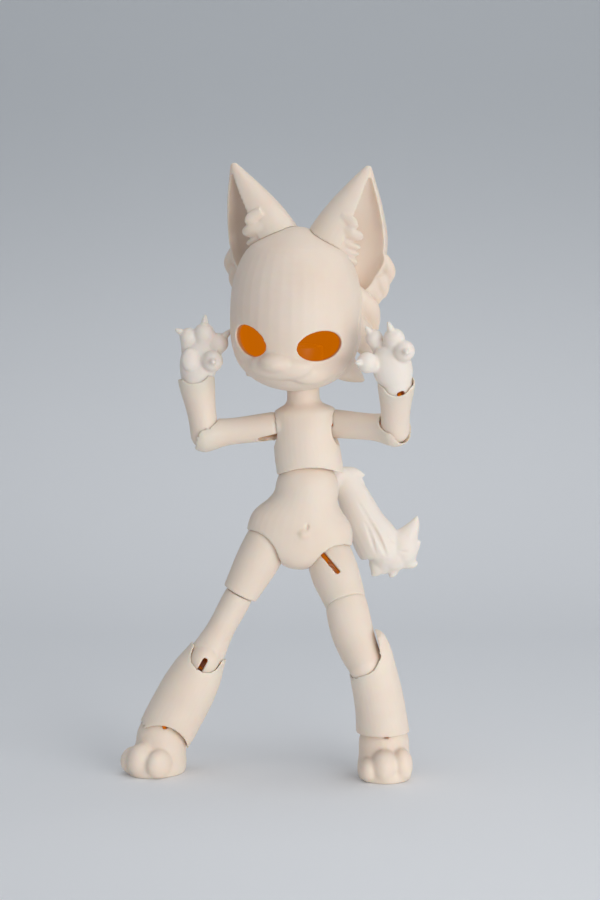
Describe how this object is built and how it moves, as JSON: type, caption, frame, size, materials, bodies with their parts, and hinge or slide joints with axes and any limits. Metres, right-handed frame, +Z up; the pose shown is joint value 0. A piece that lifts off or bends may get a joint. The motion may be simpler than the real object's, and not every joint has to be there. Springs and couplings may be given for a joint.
{
  "type": "ball jointed doll",
  "caption": "Small standing fox doll cast in resin, strung on elastic through ball joints, with a two-part hollow head, open eyes, cupped ears, clawed paws and a brush tail.",
  "frame": {"origin": "under the middle of the doll's bounding box, at the height of its soles", "axes": "+Z up, the doll faces -Y, +X is the viewer's right when looking at its face"},
  "size_m": [0.0996, 0.0562, 0.2001],
  "materials": {
    "cast_resin": "matte cast resin, sanded",
    "elastic_cord": "braided round elastic",
    "steel_wire": "bent steel wire",
    "magnet": "nickel-plated disc"
  },
  "bodies": {
    "pelvis": {"pelvis": "cast_resin", "pelvis_cord_left": "elastic_cord", "pelvis_cord_right": "elastic_cord"},
    "chest": {"chest": "cast_resin", "chest_cord": "elastic_cord", "torso_cord": "elastic_cord"},
    "neck_hook_body": {"neck_hook": "steel_wire"},
    "head": {"face_plate": "cast_resin", "head_cap": "cast_resin", "ear_left": "cast_resin", "ear_right": "cast_resin", "face_magnet_left": "magnet", "face_magnet_right": "magnet", "cap_magnet_left": "magnet", "cap_magnet_right": "magnet"},
    "tail": {"tail": "cast_resin"},
    "upper_arm_left": {"upper_arm_left": "cast_resin", "upper_arm_cord_left": "elastic_cord"},
    "forearm_left": {"forearm_left": "cast_resin", "forearm_cord_left": "elastic_cord"},
    "hand_hook_left": {"hand_hook_left": "steel_wire"},
    "hand_left": {"hand_left": "cast_resin"},
    "thigh_left": {"thigh_upper_left": "cast_resin", "thigh_cord_left": "elastic_cord"},
    "thigh_lower_left": {"thigh_lower_left": "cast_resin"},
    "shin_left": {"shin_left": "cast_resin", "shin_cord_left": "elastic_cord"},
    "foot_hook_left": {"foot_hook_left": "steel_wire"},
    "foot_left": {"foot_left": "cast_resin"},
    "upper_arm_right": {"upper_arm_right": "cast_resin", "upper_arm_cord_right": "elastic_cord"},
    "forearm_right": {"forearm_right": "cast_resin", "forearm_cord_right": "elastic_cord"},
    "hand_hook_right": {"hand_hook_right": "steel_wire"},
    "hand_right": {"hand_right": "cast_resin"},
    "thigh_right": {"thigh_upper_right": "cast_resin", "thigh_cord_right": "elastic_cord"},
    "thigh_lower_right": {"thigh_lower_right": "cast_resin"},
    "shin_right": {"shin_right": "cast_resin", "shin_cord_right": "elastic_cord"},
    "foot_hook_right": {"foot_hook_right": "steel_wire"},
    "foot_right": {"foot_right": "cast_resin"}
  },
  "joints": [
    {"name": "waist_bend", "type": "hinge", "parent": "pelvis", "child": "chest", "pos_m": [0.01322, 0.00415, 0.09381], "axis": [0, 1, 0], "range_deg": [-3, 22]},
    {"name": "neck_turn", "type": "hinge", "parent": "chest", "child": "neck_hook_body", "pos_m": [0.0118, 0.00415, 0.12909], "axis": [-0.0401, 0, 0.9992], "range_deg": [-30, 24]},
    {"name": "head_nod", "type": "hinge", "parent": "neck_hook_body", "child": "head", "pos_m": [0.0118, 0.00415, 0.12909], "axis": [0.9697, -0.2419, -0.0339], "range_deg": [-10, 10]},
    {"name": "tail_turn", "type": "hinge", "parent": "pelvis", "child": "tail", "pos_m": [0.01533, 0.01241, 0.0874], "axis": [0, 1, 0], "range_deg": [-18, 14]},
    {"name": "shoulder_lift_left", "type": "hinge", "parent": "chest", "child": "upper_arm_left", "pos_m": [0.00178, 0.00415, 0.11437], "axis": [0, 1, 0], "range_deg": [-38, 2]},
    {"name": "elbow_left", "type": "hinge", "parent": "upper_arm_left", "child": "forearm_left", "pos_m": [-0.02005, 0.00415, 0.11169], "axis": [0, 1, 0], "range_deg": [-70, 0]},
    {"name": "wrist_twist_left", "type": "hinge", "parent": "forearm_left", "child": "hand_hook_left", "pos_m": [-0.02279, 0.00415, 0.12897], "axis": [0.1564, 0, -0.9877], "range_deg": [-40, 40]},
    {"name": "hand_flex_left", "type": "hinge", "parent": "hand_hook_left", "child": "hand_left", "pos_m": [-0.02279, 0.00415, 0.12897], "axis": [-0.9877, 0, -0.1564], "range_deg": [-20, 20]},
    {"name": "hip_swing_left", "type": "hinge", "parent": "pelvis", "child": "thigh_left", "pos_m": [-0.00008, 0.00415, 0.07567], "axis": [-0.9877, 0, 0.1564], "range_deg": [-15, 45]},
    {"name": "thigh_swivel_left", "type": "hinge", "parent": "thigh_left", "child": "thigh_lower_left", "pos_m": [-0.00887, 0.00415, 0.05928], "axis": [0.4726, 0, 0.8813], "range_deg": [-25, 25]},
    {"name": "knee_left", "type": "hinge", "parent": "thigh_lower_left", "child": "shin_left", "pos_m": [-0.01946, 0.00415, 0.03954], "axis": [0.8829, 0, -0.4695], "range_deg": [0, 70]},
    {"name": "ankle_twist_left", "type": "hinge", "parent": "shin_left", "child": "foot_hook_left", "pos_m": [-0.03495, 0.00415, 0.0104], "axis": [0.4695, 0, 0.8829], "range_deg": [-25, 25]},
    {"name": "foot_flex_left", "type": "hinge", "parent": "foot_hook_left", "child": "foot_left", "pos_m": [-0.03495, 0.00415, 0.0104], "axis": [0.8829, 0, -0.4695], "range_deg": [-14, 14]},
    {"name": "shoulder_lift_right", "type": "hinge", "parent": "chest", "child": "upper_arm_right", "pos_m": [0.02297, 0.00415, 0.11522], "axis": [0, -1, 0], "range_deg": [-38, 2]},
    {"name": "elbow_right", "type": "hinge", "parent": "upper_arm_right", "child": "forearm_right", "pos_m": [0.04141, -0.00782, 0.11445], "axis": [-0.4934, -0.7295, -0.4737], "range_deg": [-55, 0]},
    {"name": "wrist_twist_right", "type": "hinge", "parent": "forearm_right", "child": "hand_hook_right", "pos_m": [0.04141, -0.01735, 0.12913], "axis": [0, 0.5446, -0.8387], "range_deg": [-40, 40]},
    {"name": "hand_flex_right", "type": "hinge", "parent": "hand_hook_right", "child": "hand_right", "pos_m": [0.04141, -0.01735, 0.12913], "axis": [-1, 0, 0], "range_deg": [-35, 0]},
    {"name": "hip_swing_right", "type": "hinge", "parent": "pelvis", "child": "thigh_right", "pos_m": [0.02026, 0.00415, 0.07245], "axis": [-0.9877, 0, 0.1564], "range_deg": [-47, 13]},
    {"name": "thigh_swivel_right", "type": "hinge", "parent": "thigh_right", "child": "thigh_lower_right", "pos_m": [0.02558, -0.00543, 0.05742], "axis": [-0.2857, 0.5149, 0.8082], "range_deg": [-25, 25]},
    {"name": "knee_right", "type": "hinge", "parent": "thigh_lower_right", "child": "shin_right", "pos_m": [0.03198, -0.01696, 0.03931], "axis": [0.9763, 0, 0.2165], "range_deg": [-56, 14]},
    {"name": "ankle_twist_right", "type": "hinge", "parent": "shin_right", "child": "foot_hook_right", "pos_m": [0.03839, -0.0024, 0.0104], "axis": [-0.1942, -0.4413, 0.8761], "range_deg": [-25, 25]},
    {"name": "foot_flex_right", "type": "hinge", "parent": "foot_hook_right", "child": "foot_right", "pos_m": [0.03839, -0.0024, 0.0104], "axis": [0.9763, 0, 0.2165], "range_deg": [0, 30]}
  ]
}
